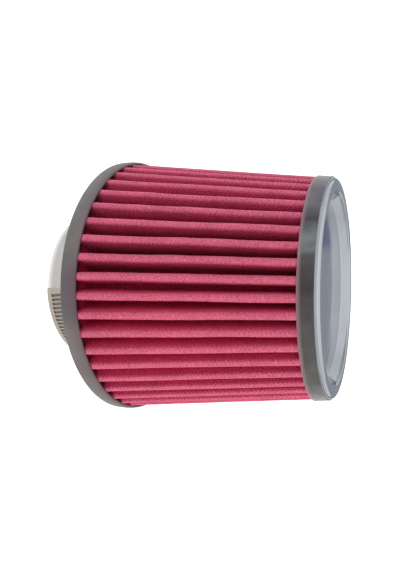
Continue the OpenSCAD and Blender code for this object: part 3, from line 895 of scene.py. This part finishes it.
def pale_floor():
    """Plain white paper sweep; to the camera it is as white as the photograph's background."""
    material, tree, shader, _ = surface("white_paper_floor")
    shader.inputs["Base Color"].default_value = linear("#E8E8E8")
    shader.inputs["Roughness"].default_value = 0.9
    path = add_node(tree, "ShaderNodeLightPath")
    # The glow lifts the white that the camera sees, and a little what metal reflects; it lights nothing.
    lift = add_node(tree, "ShaderNodeMath",
                    {0: path.outputs["Is Glossy Ray"], 1: 0.45, 2: path.outputs["Is Camera Ray"]},
                    operation="MULTIPLY_ADD")
    glow = add_node(tree, "ShaderNodeEmission", {"Color": WHITE, "Strength": lift.outputs[0]})
    both = add_node(tree, "ShaderNodeAddShader", {0: shader.outputs[0], 1: glow.outputs[0]})
    tree.links.new(both.outputs[0], tree.nodes["Material Output"].inputs["Surface"])
    return material


def white_surroundings(scene):
    """White to the camera, soft light for matt surfaces, and a plain room for mirrors."""
    world = bpy.data.worlds.new("studio_surroundings")
    scene.world = world
    world.use_nodes = True
    tree = world.node_tree
    tree.nodes.clear()
    path = add_node(tree, "ShaderNodeLightPath")
    place = add_node(tree, "ShaderNodeTexCoord")
    axes = add_node(tree, "ShaderNodeSeparateXYZ", {"Vector": place.outputs["Generated"]})
    # Mirrors see a grey wall behind the filter, up to 11 degrees, and a pale ceiling and front.
    wall_top, ceiling = 0.182, 0.206
    ramp = add_node(tree, "ShaderNodeValToRGB", {"Fac": axes.outputs["Z"]})
    stops = ((0.0, "#A8AEB2"), (wall_top, "#8C939D"), (ceiling, "#E6EAEC"))
    ramp.color_ramp.elements.new(0.5)
    for element, (place_z, hex_code) in zip(ramp.color_ramp.elements, stops):
        element.position, element.color = place_z, linear(hex_code)
    # A narrow blue-grey screen stands against that wall.
    screen = add_node(tree, "ShaderNodeMapRange",
                      {"Value": gap_to(tree, axes.outputs["X"], -0.1), "From Min": 0.02,
                       "From Max": 0.04, "To Min": 1.0, "To Max": 0.0})
    below = add_node(tree, "ShaderNodeMapRange",
                     {"Value": axes.outputs["Z"], "From Min": wall_top, "From Max": ceiling,
                      "To Min": 1.0, "To Max": 0.0})
    screened = add_node(tree, "ShaderNodeMath",
                        {0: screen.outputs[0], 1: below.outputs[0]}, operation="MULTIPLY")
    wall = add_node(tree, "ShaderNodeMix",
                    {"Factor": screened.outputs[0], "A": ramp.outputs["Color"], "B": linear("#6C708C")},
                    data_type="RGBA")
    behind = add_node(tree, "ShaderNodeMapRange",
                      {"Value": axes.outputs["Y"], "From Min": -0.1, "From Max": 0.1})
    around = add_node(tree, "ShaderNodeMix",
                      {"Factor": behind.outputs[0], "A": linear("#DADEE0"), "B": wall.outputs["Result"]},
                      data_type="RGBA")
    lift = add_node(tree, "ShaderNodeMapRange",
                    {"Value": axes.outputs["Z"], "From Min": 0.6, "From Max": 0.95, "To Min": 1.07,
                     "To Max": 1.55})
    seen = add_node(tree, "ShaderNodeMath",
                    {0: path.outputs["Is Camera Ray"], 1: path.outputs["Is Transmission Ray"]},
                    operation="MAXIMUM")
    # The soft light of the room is stronger from the front.
    level = add_node(tree, "ShaderNodeMapRange",
                     {"Value": axes.outputs["Y"], "From Min": -1.0, "From Max": -0.5, "To Min": 1.1,
                      "To Max": 0.52})
    plain = add_node(tree, "ShaderNodeBackground", {"Color": WHITE, "Strength": level.outputs[0]})
    white = add_node(tree, "ShaderNodeBackground", {"Color": WHITE, "Strength": 1.0})
    mirror = add_node(tree, "ShaderNodeBackground",
                      {"Color": around.outputs["Result"], "Strength": lift.outputs[0]})
    first = add_node(tree, "ShaderNodeMixShader",
                     {"Fac": path.outputs["Is Glossy Ray"], 1: plain.outputs[0], 2: mirror.outputs[0]})
    last = add_node(tree, "ShaderNodeMixShader",
                    {"Fac": seen.outputs[0], 1: first.outputs[0], 2: white.outputs[0]})
    add_node(tree, "ShaderNodeOutputWorld", {"Surface": last.outputs[0]})


# Add-on

class AIRFILTER_PT_panel(bpy.types.Panel):
    """Lists the steps that dress the filter, and their settings"""
    bl_idname = "AIRFILTER_PT_panel"
    bl_label = "Air filter"
    bl_space_type = "VIEW_3D"
    bl_region_type = "UI"
    bl_category = "Air filter"

    def draw(self, context):
        for step in STEPS:
            self.layout.operator(step.bl_idname)
        for name in SETTINGS:
            group = getattr(context.scene, name)
            box = self.layout.box()
            for key in group.__annotations__:
                box.prop(group, key)


STEPS = (AIRFILTER_OT_stage, AIRFILTER_OT_element, AIRFILTER_OT_base_cap, AIRFILTER_OT_top_ring,
         AIRFILTER_OT_end_cap, AIRFILTER_OT_support_core, AIRFILTER_OT_clamp)
SETTINGS = {
    "airfilter_element": ElementSettings,
    "airfilter_mouldings": MouldingSettings,
    "airfilter_cap": CapSettings,
    "airfilter_clamp": ClampSettings,
}


def register():
    for group in SETTINGS.values():
        bpy.utils.register_class(group)
    for name, group in SETTINGS.items():
        setattr(bpy.types.Scene, name, bpy.props.PointerProperty(type=group))
    for step in STEPS:
        bpy.utils.register_class(step)
    bpy.utils.register_class(AIRFILTER_PT_panel)


def unregister():
    bpy.utils.unregister_class(AIRFILTER_PT_panel)
    for step in reversed(STEPS):
        bpy.utils.unregister_class(step)
    for name, group in SETTINGS.items():
        delattr(bpy.types.Scene, name)
        bpy.utils.unregister_class(group)


def main():
    register()
    bpy.ops.airfilter.stage()
    bpy.ops.airfilter.element()
    bpy.ops.airfilter.base_cap()
    bpy.ops.airfilter.top_ring()
    bpy.ops.airfilter.end_cap()
    bpy.ops.airfilter.support_core()
    bpy.ops.airfilter.clamp()


if __name__ == "__main__":
    main()
